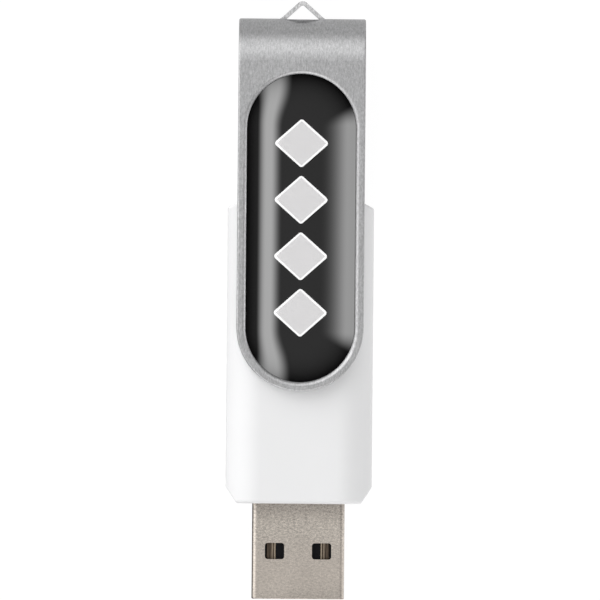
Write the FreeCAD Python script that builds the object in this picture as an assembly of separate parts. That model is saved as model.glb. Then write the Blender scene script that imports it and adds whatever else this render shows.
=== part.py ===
"""A swivel USB flash drive, as separate pieces in millimetres.

A white two-piece plastic body holds a circuit board and a USB-A plug. A U-shaped aluminium clip
straddles the body and turns without limit about a pivot near the clip's round end. The clip's front
leaf has a long recess with a printed film and a clear resin dome, and a strip of the clip's bend is
pushed out as a key-ring loop.

Frame: the origin is on the pivot axis, in the plane the clip's back leaf rests on. +Z is up, through
both leaves. +Y runs along the clip to its bend, and -Y to the plug's tip. The clip is shown swung
open, with the plug bare.
"""

import FreeCAD, Part
import math
import os
from FreeCAD import Vector

# --- Clip ---------------------------------------------------------------------------------------
SHEET = 0.8                    # sheet thickness of the clip
CLIP_WIDTH = 16.45
CLIP_HEIGHT = 11.2             # outside, across both leaves
BEND_APEX_Y = 40.1             # outermost line of the bend
CLIP_EDGE_ROUND = 0.22         # softened outer edge of the sheet
CLIP_R = CLIP_WIDTH / 2
BEND_R = CLIP_HEIGHT / 2
BEND_Y = BEND_APEX_Y - BEND_R
CLIP_MID_Z = CLIP_HEIGHT / 2

RECESS_R = 7.1                 # half width of the recess floor
RECESS_END_Y = 25.75           # centre of the recess's far round end; the near one is on the pivot
RECESS_DEPTH = 0.45
RECESS_BEVEL = 0.23            # sloping shoulder over the recess's upright wall
RECESS_ROUND = 0.5             # where the shoulder rolls over into the leaf
TRAY_R = 7.7                   # half width of the pressed-in tray, seen from inside the clip
RECESS_Z = CLIP_HEIGHT - RECESS_DEPTH
TRAY_Z = RECESS_Z - SHEET

# --- Key-ring loop, a strip pushed out of the bend ----------------------------------------------
LOOP_APEX_Y = 42.35
LOOP_STRIP_WIDTH = 2.2         # along Z
LOOP_THICK = 0.5
LOOP_LEG_ANGLE = math.radians(42)
LOOP_INNER_R = 0.35            # inside the fold at the apex
LOOP_FLARE_R = 1.0             # where a leg runs out into the bend
LOOP_SINK = 0.12               # how far the foot sits under the bend's outermost line
LOOP_SLIT = 0.05               # sheared gap beside the strip
LOOP_WINDOW_HALF = 3.05

# --- Body ---------------------------------------------------------------------------------------
BODY_WIDTH = 19.0
BODY_BACK_Z = 1.0
BODY_FRONT_Z = 9.8
BODY_NOSE_Y = -22.8            # face the plug comes out of
BODY_TAIL_Y = 17.9
TAIL_R = 20.0
NOSE_CUT_X = 1.45              # cut-off nose corners
NOSE_CUT_Y = 2.1
BODY_WALL = 1.2
BODY_EDGE_ROUND = 0.45
BODY_MID_Z = (BODY_BACK_Z + BODY_FRONT_Z) / 2
BODY_SIDE_R = (BODY_FRONT_Z - BODY_BACK_Z) / 2
SEAM = 0.1                     # chamfer each shell has along the parting line

LIP_OUT = 0.75                 # the joint lip lies this far inside the outline
LIP_HEIGHT = 0.7
LIP_GAP = 0.05
LIP_ROOT = 0.3                 # how far the lip is sunk into the back shell's wall

# --- Pivot: a dimple pressed into each leaf runs in a pocket of the body -------------------------
DIMPLE_R = 2.6
POCKET_R = 2.65
DIMPLE_REACH = 0.75            # into the body
POCKET_DEPTH = 0.85
POCKET_PAD_R = 4.0
POCKET_PAD = 0.6
DISH_R = DIMPLE_R - SHEET
DISH_ROUND = 0.3

# --- Label --------------------------------------------------------------------------------------
FILM_R = 7.06
FILM_THICK = 0.1
PRINT_THICK = 0.02             # ink of the printed motif, a column of lozenges
LOZENGE_COUNT = 4
LOZENGE_PITCH = 7.3
LOZENGE_HALF_X = 3.6
LOZENGE_HALF_Y = 3.2
LOZENGE_CORNER_R = 0.4
DOME_R = 7.02
DOME_GAP = 0.03                # adhesive line between film and resin, with the ink in it
DOME_SIDE = 0.12               # upright rim of the resin
DOME_TOP_R = 40.0              # nearly flat middle
DOME_EDGE_R = 8.0              # rounded edge
DOME_KNEE_X = 4.5              # where one turns into the other

# --- USB-A plug ---------------------------------------------------------------------------------
PLUG_WIDTH = 12.0
PLUG_HEIGHT = 4.5
PLUG_SHEET = 0.3
PLUG_CORNER_R = 0.6
PLUG_OUT = 12.4                # bare length
PLUG_LENGTH = 18.5
PLUG_TIP_Y = BODY_NOSE_Y - PLUG_OUT
PLUG_TAIL_Y = PLUG_TIP_Y + PLUG_LENGTH
PLUG_TIP_ROUND = 0.12
PLUG_GAP = 0.05                # around the plug in the body's opening
WINDOW_X = 3.05                # centre of each latch window
WINDOW_WIDTH = 2.5
WINDOW_LENGTH = 2.1
WINDOW_FROM_TIP = 5.16
WINDOW_CORNER_R = 0.35
SEAM_SLIT = 0.06
KEY_FROM_TIP = 8.6             # dovetail that locks the shell's joint line
KEY_NECK = 0.5
KEY_HEAD = 0.85
KEY_REACH = 1.1
LUG_LENGTH = 2.5
LUG_LOW_Z = BODY_MID_Z - 1.5
LUG_HIGH_Z = BODY_MID_Z + 0.5

TONGUE_FROM_TIP = 0.5
TONGUE_TOP_Z = BODY_MID_Z
TONGUE_LEAD_IN = 0.35          # bevel on the tongue's front edge
INSULATOR_BLOCK_FROM_TIP = 9.3
INSULATOR_TAIL_Y = PLUG_TAIL_Y - 0.3
INSULATOR_GAP = 0.04
CONTACT_THICK = 0.2
CONTACT_BEVEL = 0.07
CONTACT_LOW_Z = TONGUE_TOP_Z - CONTACT_THICK / 2
CONTACT_TAIL_Y = PLUG_TAIL_Y + 1.9
CONTACT_GAP = 0.03
POWER_CONTACT_X = 3.5
POWER_CONTACT_WIDTH = 1.2
POWER_CONTACT_FROM_TIP = 1.3
DATA_CONTACT_X = 1.0
DATA_CONTACT_WIDTH = 1.0
DATA_CONTACT_FROM_TIP = 2.3

# --- Circuit board and its components -----------------------------------------------------------
BOARD_TOP_Z = CONTACT_LOW_Z
BOARD_THICK = 1.0
BOARD_LOW_Z = BOARD_TOP_Z - BOARD_THICK
BOARD_HALF = 7.7
BOARD_NECK_HALF = 5.55
BOARD_FRONT_Y = PLUG_TAIL_Y - 0.2
BOARD_SHOULDER_Y = PLUG_TAIL_Y + 2.9
BOARD_REAR_Y = 12.7
BOARD_CORNER_R = 0.5

STANDOFF = 0.1                 # of the leaded packages above the board
PACKAGE_BEVEL = 0.12
PIN_DOT_R = 0.45
PIN_DOT_DEPTH = 0.08
PIN_DOT_INSET = 1.2
LEAD_THICK = 0.13
LEAD_WIDTH = 0.22
LEAD_PITCH = 0.5
LEAD_FOOT = 0.5
FLASH_WIDTH = 12.0
FLASH_LENGTH = 18.4
FLASH_SPAN = 20.0
FLASH_HEIGHT = 1.0
FLASH_Y = -0.6
FLASH_LEADS_PER_SIDE = 24
CONTROLLER_SIDE = 7.0
CONTROLLER_SPAN = 9.0
CONTROLLER_HEIGHT = 1.4
CONTROLLER_Y = -8.0
CONTROLLER_LEADS_PER_SIDE = 12
CRYSTAL_SIZE = (5.0, 3.2)
CRYSTAL_Y = -12.7
CRYSTAL_BASE = 0.7
CRYSTAL_LID = 0.4
CRYSTAL_LID_INSET = 0.25
CRYSTAL_CORNER_R = 0.3
LED_Y = 11.3
LED_SIZE = (2.0, 1.25)
LED_BASE = 0.4
LED_LENS = 0.4
LED_LENS_SHARE = 0.64          # of the base's width
LED_LENS_BEVEL = 0.12
SOLDER_RISE = 0.45             # up the plug's lug
SOLDER_RUN = 0.6               # out over the board
SOLDER_DROP = 0.2              # down the gap beside the board
SOLDER_INSET = 0.4             # from each end of the lug

CAPACITOR = (0.8, 1.6, 0.8)    # width, length, height
RESISTOR = (0.5, 1.0, 0.35)
END_CAP_SHARE = 0.22           # of a chip component's length, at each end
CAPACITORS_BELOW = [(-5.8, -9.6), (-5.8, -12.0), (5.8, -9.6), (5.8, -12.0), (-2.0, 7.5), (2.0, 7.5)]
RESISTORS_BELOW = [(-5.6, -3.2), (-5.6, -1.4), (5.6, -3.2), (5.6, -1.4)]
RESISTORS_ABOVE = [(3.6, LED_Y), (5.2, LED_Y)]

PEG_REAR = (5.5, 14.3, 1.35, 0.8)     # x, y, post radius, peg radius
PEG_NOSE = (7.1, BODY_NOSE_Y + 3.7, 0.95, 0.5)
PEG_HEIGHT = 1.2
PEG_GAP = 0.05
RIB_X = (6.7, 7.4)
RIB_SPANS_Y = [(-8.0, -6.0), (4.0, 6.0)]
RIB_GAP = 0.05
SADDLE_SPANS_Y = [(-21.1, -20.3), (-18.5, -17.7)]
SADDLE_HALF = 4.5
SADDLE_GAP = 0.03


HAIR = 0.01                    # slack when edges are picked by position
ANYWHERE = (-1000, 1000)


# --- Small builders -----------------------------------------------------------------------------
def block(x0, x1, y0, y1, z0, z1):
    return Part.makeBox(x1 - x0, y1 - y0, z1 - z0, Vector(x0, y0, z0))


def disc(x, y, radius, z0, z1):
    return Part.makeCylinder(radius, z1 - z0, Vector(x, y, z0))


def mirrored(shape):
    """The shape and its mirror image across the X = 0 plane."""
    return [shape, shape.mirror(Vector(0, 0, 0), Vector(1, 0, 0))]


def fuse_all(shapes):
    return shapes[0].fuse(list(shapes[1:])).removeSplitter()


def line(a, b):
    return Part.makeLine(Vector(*a), Vector(*b))


def arc(a, middle, b):
    return Part.Arc(Vector(*a), Vector(*middle), Vector(*b)).toShape()


def prism(edges, direction):
    """A closed planar outline pushed along a direction."""
    wire = Part.Wire(Part.__sortEdges__(edges))
    return Part.Face(wire).extrude(Vector(*direction))


def stadium(radius, y0, y1, z0, z1):
    """A slot-shaped plate: half circles round (0, y0) and (0, y1), joined by straight sides."""
    edges = [
        line((radius, y0, z0), (radius, y1, z0)),
        arc((radius, y1, z0), (0, y1 + radius, z0), (-radius, y1, z0)),
        line((-radius, y1, z0), (-radius, y0, z0)),
        arc((-radius, y0, z0), (0, y0 - radius, z0), (radius, y0, z0)),
    ]
    return prism(edges, (0, 0, z1 - z0))


def rounded_bar(half_x, z0, z1, corner, y0, y1):
    """A bar along Y whose section is a rectangle with round corners."""
    bar = block(-half_x, half_x, y0, y1, z0, z1)
    return bar.makeFillet(corner, lengthwise_edges(bar, 1))


def rounded_column(x, y, size_x, size_y, corner, z0, z1):
    """A column along Z whose section is a rectangle with round corners."""
    column = block(x - size_x / 2, x + size_x / 2, y - size_y / 2, y + size_y / 2, z0, z1)
    return column.makeFillet(corner, lengthwise_edges(column, 2))


def edges_inside(shape, x=ANYWHERE, y=ANYWHERE, z=ANYWHERE):
    """Edges of the shape whose whole bounding box lies in the given spans."""
    found = []
    for edge in shape.Edges:
        box = edge.BoundBox
        spans = [(box.XMin, box.XMax, x), (box.YMin, box.YMax, y), (box.ZMin, box.ZMax, z)]
        if all(low >= span[0] - HAIR and high <= span[1] + HAIR for low, high, span in spans):
            found.append(edge)
    return found


def lengthwise_edges(shape, axis):
    """Edges of a block that run along the axis (0, 1 or 2)."""
    return [e for e in shape.Edges if abs(e.tangentAt(e.FirstParameter)[axis]) > 0.99]


def closed_outline(points):
    """The straight edges that join the points into a ring."""
    following = points[1:] + points[:1]
    return [line(a, b) for a, b in zip(points, following)]


# --- Clip ---------------------------------------------------------------------------------------
def clip_leaf(z0):
    edges = [
        line((CLIP_R, BEND_Y, z0), (CLIP_R, 0, z0)),
        arc((CLIP_R, 0, z0), (0, -CLIP_R, z0), (-CLIP_R, 0, z0)),
        line((-CLIP_R, 0, z0), (-CLIP_R, BEND_Y, z0)),
        line((-CLIP_R, BEND_Y, z0), (CLIP_R, BEND_Y, z0)),
    ]
    return prism(edges, (0, 0, SHEET))


def clip_bend():
    """Half a tube along X that joins the two leaves."""
    corner = Vector(-CLIP_R, BEND_Y, CLIP_MID_Z)
    along_x = Vector(1, 0, 0)
    tube = Part.makeCylinder(BEND_R, CLIP_WIDTH, corner, along_x)
    tube = tube.cut(Part.makeCylinder(BEND_R - SHEET, CLIP_WIDTH, corner, along_x))
    return tube.common(block(-CLIP_R, CLIP_R, BEND_Y, BEND_APEX_Y, 0, CLIP_HEIGHT))


def loop_strip():
    """The pushed-out strip: two sloping legs that meet in a round fold and flare into the bend."""
    z0 = CLIP_MID_Z - LOOP_STRIP_WIDTH / 2
    outer_r = LOOP_INNER_R + LOOP_THICK
    fold_y = LOOP_APEX_Y - outer_r
    foot_y = BEND_APEX_Y - LOOP_SINK
    root_y = BEND_APEX_Y - SHEET * 0.85
    sine, cosine = math.sin(LOOP_LEG_ANGLE), math.cos(LOOP_LEG_ANGLE)
    half_sine, half_cosine = math.sin(LOOP_LEG_ANGLE / 2), math.cos(LOOP_LEG_ANGLE / 2)

    outer_top = (outer_r * sine, fold_y + outer_r * cosine)
    inner_top = (LOOP_INNER_R * sine, fold_y + LOOP_INNER_R * cosine)
    leg = (outer_top[1] - foot_y - LOOP_FLARE_R * (1 - cosine)) / sine
    leg_end = (outer_top[0] + leg * cosine, outer_top[1] - leg * sine)
    foot_x = leg_end[0] + LOOP_FLARE_R * sine
    flare_middle = (foot_x - LOOP_FLARE_R * half_sine, foot_y + LOOP_FLARE_R * (1 - half_cosine))
    inner_root = (inner_top[0] + (inner_top[1] - root_y) * cosine / sine, root_y)

    edges = []
    for radius, top in ((outer_r, outer_top), (LOOP_INNER_R, inner_top)):
        edges.append(arc((-top[0], top[1], z0), (0, fold_y + radius, z0), (top[0], top[1], z0)))
    for side in (-1, 1):
        corners = [outer_top, leg_end, (foot_x, foot_y), (foot_x, root_y), inner_root, inner_top]
        p = [(side * x, y, z0) for x, y in corners]
        edges.append(line(p[0], p[1]))
        edges.append(arc(p[1], (side * flare_middle[0], flare_middle[1], z0), p[2]))
        edges += [line(p[i], p[i + 1]) for i in range(2, 5)]
    return prism(edges, (0, 0, LOOP_STRIP_WIDTH))


def swivel_clip():
    """One strip of sheet: two leaves, the bend, the pressed tray, two pivot dimples and the loop."""
    clip = fuse_all([clip_leaf(0), clip_leaf(CLIP_HEIGHT - SHEET), clip_bend()])
    clip = clip.makeFillet(CLIP_EDGE_ROUND, [e for e in clip.Edges if is_outer_rim(e)])
    tray = stadium(TRAY_R, 0, RECESS_END_Y, TRAY_Z, CLIP_HEIGHT - SHEET)
    recess = stadium(RECESS_R, 0, RECESS_END_Y, RECESS_Z, CLIP_HEIGHT)
    clip = fuse_all([clip, tray]).cut(recess)
    clip = clip.makeChamfer(RECESS_BEVEL, recess_rim(clip, RECESS_R))
    clip = clip.makeFillet(RECESS_ROUND, recess_rim(clip, RECESS_R + RECESS_BEVEL))

    front_tip_z = BODY_FRONT_Z - DIMPLE_REACH
    back_tip_z = BODY_BACK_Z + DIMPLE_REACH
    dimples = [disc(0, 0, DIMPLE_R, front_tip_z, TRAY_Z), disc(0, 0, DIMPLE_R, SHEET, back_tip_z)]
    clip = fuse_all([clip, *dimples])
    clip = clip.cut(disc(0, 0, DISH_R, front_tip_z + SHEET, RECESS_Z))
    clip = clip.cut(disc(0, 0, DISH_R, 0, back_tip_z - SHEET))
    dish_rims = [e for e in clip.Edges if is_circle_at(e, DISH_R, 0) or is_circle_at(e, DISH_R, RECESS_Z)]
    clip = clip.makeFillet(DISH_ROUND, dish_rims)

    half_z = LOOP_STRIP_WIDTH / 2 + LOOP_SLIT
    low, high = CLIP_MID_Z - half_z, CLIP_MID_Z + half_z
    window = block(-LOOP_WINDOW_HALF, LOOP_WINDOW_HALF, BEND_Y, LOOP_APEX_Y, low, high)
    return fuse_all([clip.cut(window), loop_strip()])


def recess_rim(clip, radius):
    """The edges where the recess, this wide, opens in the front leaf."""
    span_y = (-radius, RECESS_END_Y + radius)
    return edges_inside(clip, (-radius, radius), span_y, (CLIP_HEIGHT, CLIP_HEIGHT))


def is_outer_rim(edge):
    """True for an edge of the clip's outside face that lies on the clip's outline."""
    where_leaf_meets_bend = edge.BoundBox.XLength > 1 and edge.BoundBox.YMin > 1
    if where_leaf_meets_bend:
        return False
    middle = edge.valueAt((edge.FirstParameter + edge.LastParameter) / 2)
    if middle.y <= BEND_Y:
        return abs(middle.z) < HAIR or abs(middle.z - CLIP_HEIGHT) < HAIR
    return abs(math.hypot(middle.y - BEND_Y, middle.z - CLIP_MID_Z) - BEND_R) < HAIR


def is_circle_at(edge, radius, z):
    """True for an edge that lies on a circle of this radius round the pivot, at height z."""
    if not isinstance(edge.Curve, Part.Circle):
        return False
    centre = edge.Curve.Center
    on_axis = math.hypot(centre.x, centre.y) < HAIR
    return on_axis and abs(edge.Curve.Radius - radius) < HAIR and abs(centre.z - z) < HAIR


# --- Label --------------------------------------------------------------------------------------
def label_film():
    return stadium(FILM_R, 0, RECESS_END_Y, RECESS_Z, RECESS_Z + FILM_THICK)


def label_print():
    """The printed motif: a column of lozenges with slightly rounded corners."""
    z = RECESS_Z + FILM_THICK
    lozenges = []
    for i in range(LOZENGE_COUNT):
        y = RECESS_END_Y / 2 + (i - (LOZENGE_COUNT - 1) / 2) * LOZENGE_PITCH
        points = [
            (LOZENGE_HALF_X, y, z),
            (0, y + LOZENGE_HALF_Y, z),
            (-LOZENGE_HALF_X, y, z),
            (0, y - LOZENGE_HALF_Y, z),
        ]
        lozenge = prism(closed_outline(points), (0, 0, PRINT_THICK))
        lozenges.append(lozenge.makeFillet(LOZENGE_CORNER_R, lengthwise_edges(lozenge, 2)))
    return Part.makeCompound(lozenges)


def label_dome():
    """Clear resin with a nearly flat middle and a rounded edge, swept round a slot-shaped outline."""
    base_z = RECESS_Z + FILM_THICK + DOME_GAP
    side_z = base_z + DOME_SIDE
    knee_turn = math.asin(DOME_KNEE_X / DOME_TOP_R)
    edge_centre_x = DOME_KNEE_X - DOME_EDGE_R * math.sin(knee_turn)
    rim_turn = math.asin((DOME_R - edge_centre_x) / DOME_EDGE_R)
    edge_centre_z = side_z - DOME_EDGE_R * math.cos(rim_turn)
    knee_z = edge_centre_z + DOME_EDGE_R * math.cos(knee_turn)
    crown_z = knee_z + DOME_TOP_R * (1 - math.cos(knee_turn))
    edge_turn = (knee_turn + rim_turn) / 2
    edge_x = edge_centre_x + DOME_EDGE_R * math.sin(edge_turn)
    edge_z = edge_centre_z + DOME_EDGE_R * math.cos(edge_turn)
    top_x = DOME_TOP_R * math.sin(knee_turn / 2)
    top_z = crown_z - DOME_TOP_R * (1 - math.cos(knee_turn / 2))
    profile = [
        (0, crown_z),
        (0, base_z),
        (DOME_R, base_z),
        (DOME_R, side_z),
        (edge_x, edge_z),
        (DOME_KNEE_X, knee_z),
        (top_x, top_z),
    ]

    def half_section(side, y):
        p = [(side * x, y, z) for x, z in profile]
        edges = [line(p[0], p[1]), line(p[1], p[2]), line(p[2], p[3])]
        edges += [arc(p[3], p[4], p[5]), arc(p[5], p[6], p[0])]
        return Part.Face(Part.Wire(Part.__sortEdges__(edges)))

    straight = [half_section(side, 0).extrude(Vector(0, RECESS_END_Y, 0)) for side in (-1, 1)]
    near_end = half_section(1, 0).revolve(Vector(0, 0, 0), Vector(0, 0, 1), -180)
    far_end = half_section(1, RECESS_END_Y).revolve(Vector(0, RECESS_END_Y, 0), Vector(0, 0, 1), 180)
    return fuse_all([*straight, near_end, far_end])


# --- Body ---------------------------------------------------------------------------------------
def body_plan(inset, z0, z1):
    """The body seen from above, drawn in by inset: cut nose corners and a gently curved tail."""
    half = BODY_WIDTH / 2 - inset
    nose = BODY_NOSE_Y + inset
    slope = math.hypot(NOSE_CUT_X, NOSE_CUT_Y)
    cut_x = BODY_WIDTH / 2 - NOSE_CUT_X - inset * (slope - NOSE_CUT_X) / NOSE_CUT_Y
    cut_y = BODY_NOSE_Y + NOSE_CUT_Y + inset * (slope - NOSE_CUT_Y) / NOSE_CUT_X
    tail_r = TAIL_R - inset
    tail_centre_y = BODY_TAIL_Y - TAIL_R
    tail_corner_y = tail_centre_y + math.sqrt(tail_r**2 - half**2)
    edges = [
        line((half, tail_corner_y, z0), (half, cut_y, z0)),
        line((half, cut_y, z0), (cut_x, nose, z0)),
        line((cut_x, nose, z0), (-cut_x, nose, z0)),
        line((-cut_x, nose, z0), (-half, cut_y, z0)),
        line((-half, cut_y, z0), (-half, tail_corner_y, z0)),
        arc((-half, tail_corner_y, z0), (0, tail_centre_y + tail_r, z0), (half, tail_corner_y, z0)),
    ]
    return prism(edges, (0, 0, z1 - z0))


def body_blank(inset):
    """The whole body as one solid: full-round sides, flat front and back."""
    low = BODY_BACK_Z + inset
    high = BODY_FRONT_Z - inset
    radius = BODY_SIDE_R - inset
    flat = BODY_WIDTH / 2 - BODY_SIDE_R
    y = BODY_NOSE_Y - 1
    section = [
        line((-flat, y, low), (flat, y, low)),
        arc((flat, y, low), (flat + radius, y, BODY_MID_Z), (flat, y, high)),
        line((flat, y, high), (-flat, y, high)),
        arc((-flat, y, high), (-flat - radius, y, BODY_MID_Z), (-flat, y, low)),
    ]
    bar = prism(section, (0, BODY_TAIL_Y - BODY_NOSE_Y + 2, 0))
    return bar.common(body_plan(inset, low, high)).removeSplitter()


def rounded_body():
    blank = body_blank(0)
    nose_edges = edges_inside(blank, y=(BODY_NOSE_Y, BODY_NOSE_Y + NOSE_CUT_Y))
    tail_corner_y = BODY_TAIL_Y - TAIL_R + math.sqrt(TAIL_R**2 - (BODY_WIDTH / 2) ** 2)
    tail_edges = edges_inside(blank, y=(tail_corner_y, BODY_TAIL_Y))
    return blank.makeFillet(BODY_EDGE_ROUND, nose_edges + tail_edges)


def plug_opening():
    half = PLUG_WIDTH / 2 + PLUG_GAP
    low = BODY_MID_Z - PLUG_HEIGHT / 2 - PLUG_GAP
    high = BODY_MID_Z + PLUG_HEIGHT / 2 + PLUG_GAP
    return rounded_bar(half, low, high, PLUG_CORNER_R, BODY_NOSE_Y - 1, BODY_NOSE_Y + BODY_WALL + 1)


def hollow_body():
    body = rounded_body().cut(body_blank(BODY_WALL))
    return body.cut(plug_opening())


def cut_seam(half_body):
    """Bevels the shell's outer edge along the parting line, so that a fine groove shows."""
    grown = body_plan(-1, BODY_MID_Z - SEAM, BODY_MID_Z + SEAM)
    band = grown.cut(body_plan(SEAM, BODY_MID_Z - SEAM, BODY_MID_Z + SEAM))
    return half_body.cut(band)


def peg_places():
    for x, y, post_r, peg_r in (PEG_REAR, PEG_NOSE):
        for side in (-1, 1):
            yield side * x, y, post_r, peg_r


def front_shell():
    """The half under the label: sockets, board clamps and the front pivot pocket."""
    body = hollow_body()
    reach = BODY_WIDTH
    shell = body.common(block(-reach, reach, -2 * reach, 2 * reach, BODY_MID_Z, BODY_FRONT_Z))
    ceiling = BODY_FRONT_Z - BODY_WALL / 2
    inside = [disc(0, 0, POCKET_PAD_R, BODY_FRONT_Z - BODY_WALL - POCKET_PAD, ceiling)]
    for x, y, post_r, _ in peg_places():
        inside.append(disc(x, y, post_r, BODY_MID_Z, ceiling))
    for y0, y1 in RIB_SPANS_Y:
        inside += mirrored(block(*RIB_X, y0, y1, BOARD_TOP_Z + RIB_GAP, ceiling))
    plug_top = BODY_MID_Z + PLUG_HEIGHT / 2
    for y0, y1 in SADDLE_SPANS_Y:
        inside.append(block(-SADDLE_HALF, SADDLE_HALF, y0, y1, plug_top + SADDLE_GAP, ceiling))
    inside = [piece.common(body_blank(BODY_EDGE_ROUND)) for piece in inside]
    shell = fuse_all([shell, *inside])
    rebate = body_plan(LIP_OUT - LIP_GAP, BODY_MID_Z, BODY_MID_Z + LIP_HEIGHT + LIP_GAP)
    shell = shell.cut(rebate.cut(socket_posts()))
    for x, y, _, peg_r in peg_places():
        shell = shell.cut(disc(x, y, peg_r + PEG_GAP, BODY_MID_Z, BODY_MID_Z + PEG_HEIGHT + PEG_GAP))
    shell = shell.cut(disc(0, 0, POCKET_R, BODY_FRONT_Z - POCKET_DEPTH, BODY_FRONT_Z))
    return cut_seam(shell)


def socket_posts():
    """Columns that the front shell's rebate leaves standing: the sockets, and the board clamps."""
    posts = []
    high = BODY_MID_Z + LIP_HEIGHT + 1
    for x, y, post_r, _ in peg_places():
        posts.append(disc(x, y, post_r, BODY_MID_Z, high))
    for y0, y1 in RIB_SPANS_Y:
        posts += mirrored(block(*RIB_X, y0, y1, BODY_MID_Z - 1, high))
    inner = body_plan(BODY_WALL + LIP_GAP, BODY_MID_Z - 1, high)
    return fuse_all(posts).common(inner)


def back_shell():
    """The half that the board rests in: pegs, board ledges, the joint lip and the back pocket."""
    body = hollow_body()
    reach = BODY_WIDTH
    shell = body.common(block(-reach, reach, -2 * reach, 2 * reach, BODY_BACK_Z, BODY_MID_Z))
    floor = BODY_BACK_Z + BODY_WALL / 2
    inside = [disc(0, 0, POCKET_PAD_R, floor, BODY_BACK_Z + BODY_WALL + POCKET_PAD)]
    for x, y, post_r, _ in peg_places():
        inside.append(disc(x, y, post_r, floor, BODY_MID_Z))
    for y0, y1 in RIB_SPANS_Y:
        inside += mirrored(block(*RIB_X, y0, y1, floor, BOARD_LOW_Z - RIB_GAP))
    plug_low = BODY_MID_Z - PLUG_HEIGHT / 2
    for y0, y1 in SADDLE_SPANS_Y:
        inside.append(block(-SADDLE_HALF, SADDLE_HALF, y0, y1, floor, plug_low - SADDLE_GAP))
    inside = [piece.common(body_blank(BODY_EDGE_ROUND)) for piece in inside]
    pegs = [disc(x, y, peg_r, BODY_MID_Z, BODY_MID_Z + PEG_HEIGHT) for x, y, _, peg_r in peg_places()]
    lip_top = BODY_MID_Z + LIP_HEIGHT
    lip = body_plan(LIP_OUT, BODY_MID_Z - LIP_ROOT, lip_top)
    lip = lip.cut(body_plan(BODY_WALL, BODY_MID_Z - 1, lip_top + 1))
    plug_half = PLUG_WIDTH / 2 + PLUG_GAP
    lip = lip.cut(block(-plug_half, plug_half, 2 * BODY_NOSE_Y, 0, 0, BODY_FRONT_Z))
    shell = fuse_all([shell, lip, *inside, *pegs])
    shell = shell.cut(disc(0, 0, POCKET_R, BODY_BACK_Z, BODY_BACK_Z + POCKET_DEPTH))
    return cut_seam(shell)


# --- USB-A plug ---------------------------------------------------------------------------------
def seam_slit():
    """The joint line of the folded plug shell, with one dovetail lock, on its back wall."""
    low = BODY_MID_Z - PLUG_HEIGHT / 2 - 0.1
    high = low + PLUG_SHEET + 0.2
    key_y = PLUG_TIP_Y + KEY_FROM_TIP
    half = SEAM_SLIT / 2

    def dovetail(grow):
        neck, head, reach = KEY_NECK + grow, KEY_HEAD + grow, KEY_REACH + grow
        corners = [(-grow, -neck), (-grow, neck), (reach, head), (reach, -head)]
        points = [(x, key_y + y, low) for x, y in corners]
        return prism(closed_outline(points), (0, 0, high - low))

    outline = dovetail(half).cut(dovetail(-half))
    root = block(-2 * half, 2 * half, key_y - KEY_NECK + half, key_y + KEY_NECK - half, low, high)
    before = block(-half, half, PLUG_TIP_Y - 1, key_y - KEY_NECK, low, high)
    after = block(-half, half, key_y + KEY_NECK, PLUG_TAIL_Y + 1, low, high)
    return fuse_all([before, outline.cut(root), after])


def plug_shell():
    half = PLUG_WIDTH / 2
    low = BODY_MID_Z - PLUG_HEIGHT / 2
    high = BODY_MID_Z + PLUG_HEIGHT / 2
    outside = rounded_bar(half, low, high, PLUG_CORNER_R, PLUG_TIP_Y, PLUG_TAIL_Y)
    outside = outside.makeFillet(PLUG_TIP_ROUND, edges_inside(outside, y=(PLUG_TIP_Y, PLUG_TIP_Y)))
    inner = PLUG_CORNER_R - PLUG_SHEET
    hole = rounded_bar(
        half - PLUG_SHEET, low + PLUG_SHEET, high - PLUG_SHEET, inner, PLUG_TIP_Y - 1, PLUG_TAIL_Y + 1
    )
    shell = outside.cut(hole)
    window_y = PLUG_TIP_Y + WINDOW_FROM_TIP + WINDOW_LENGTH / 2
    for side in (-1, 1):
        window = rounded_column(
            side * WINDOW_X, window_y, WINDOW_WIDTH, WINDOW_LENGTH, WINDOW_CORNER_R, low - 1, high + 1
        )
        shell = shell.cut(window)
    shell = shell.cut(seam_slit())
    lugs = mirrored(
        block(half - PLUG_SHEET, half, PLUG_TAIL_Y - 0.5, PLUG_TAIL_Y + LUG_LENGTH, LUG_LOW_Z, LUG_HIGH_Z)
    )
    return fuse_all([shell, *lugs])


def contact_list():
    """X, width and front end of each of the four contacts."""
    power_y = PLUG_TIP_Y + POWER_CONTACT_FROM_TIP
    data_y = PLUG_TIP_Y + DATA_CONTACT_FROM_TIP
    power = [(side * POWER_CONTACT_X, POWER_CONTACT_WIDTH, power_y) for side in (-1, 1)]
    data = [(side * DATA_CONTACT_X, DATA_CONTACT_WIDTH, data_y) for side in (-1, 1)]
    return power, data


def contact_strips(contacts):
    """Flat strips, bevelled on top, from the tongue's front through the insulator to the board."""
    top = CONTACT_LOW_Z + CONTACT_THICK
    strips = []
    for x, width, front_y in contacts:
        strip = block(x - width / 2, x + width / 2, front_y, CONTACT_TAIL_Y, CONTACT_LOW_Z, top)
        strips.append(strip.makeChamfer(CONTACT_BEVEL, edges_inside(strip, z=(top, top))))
    return Part.makeCompound(strips)


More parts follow.
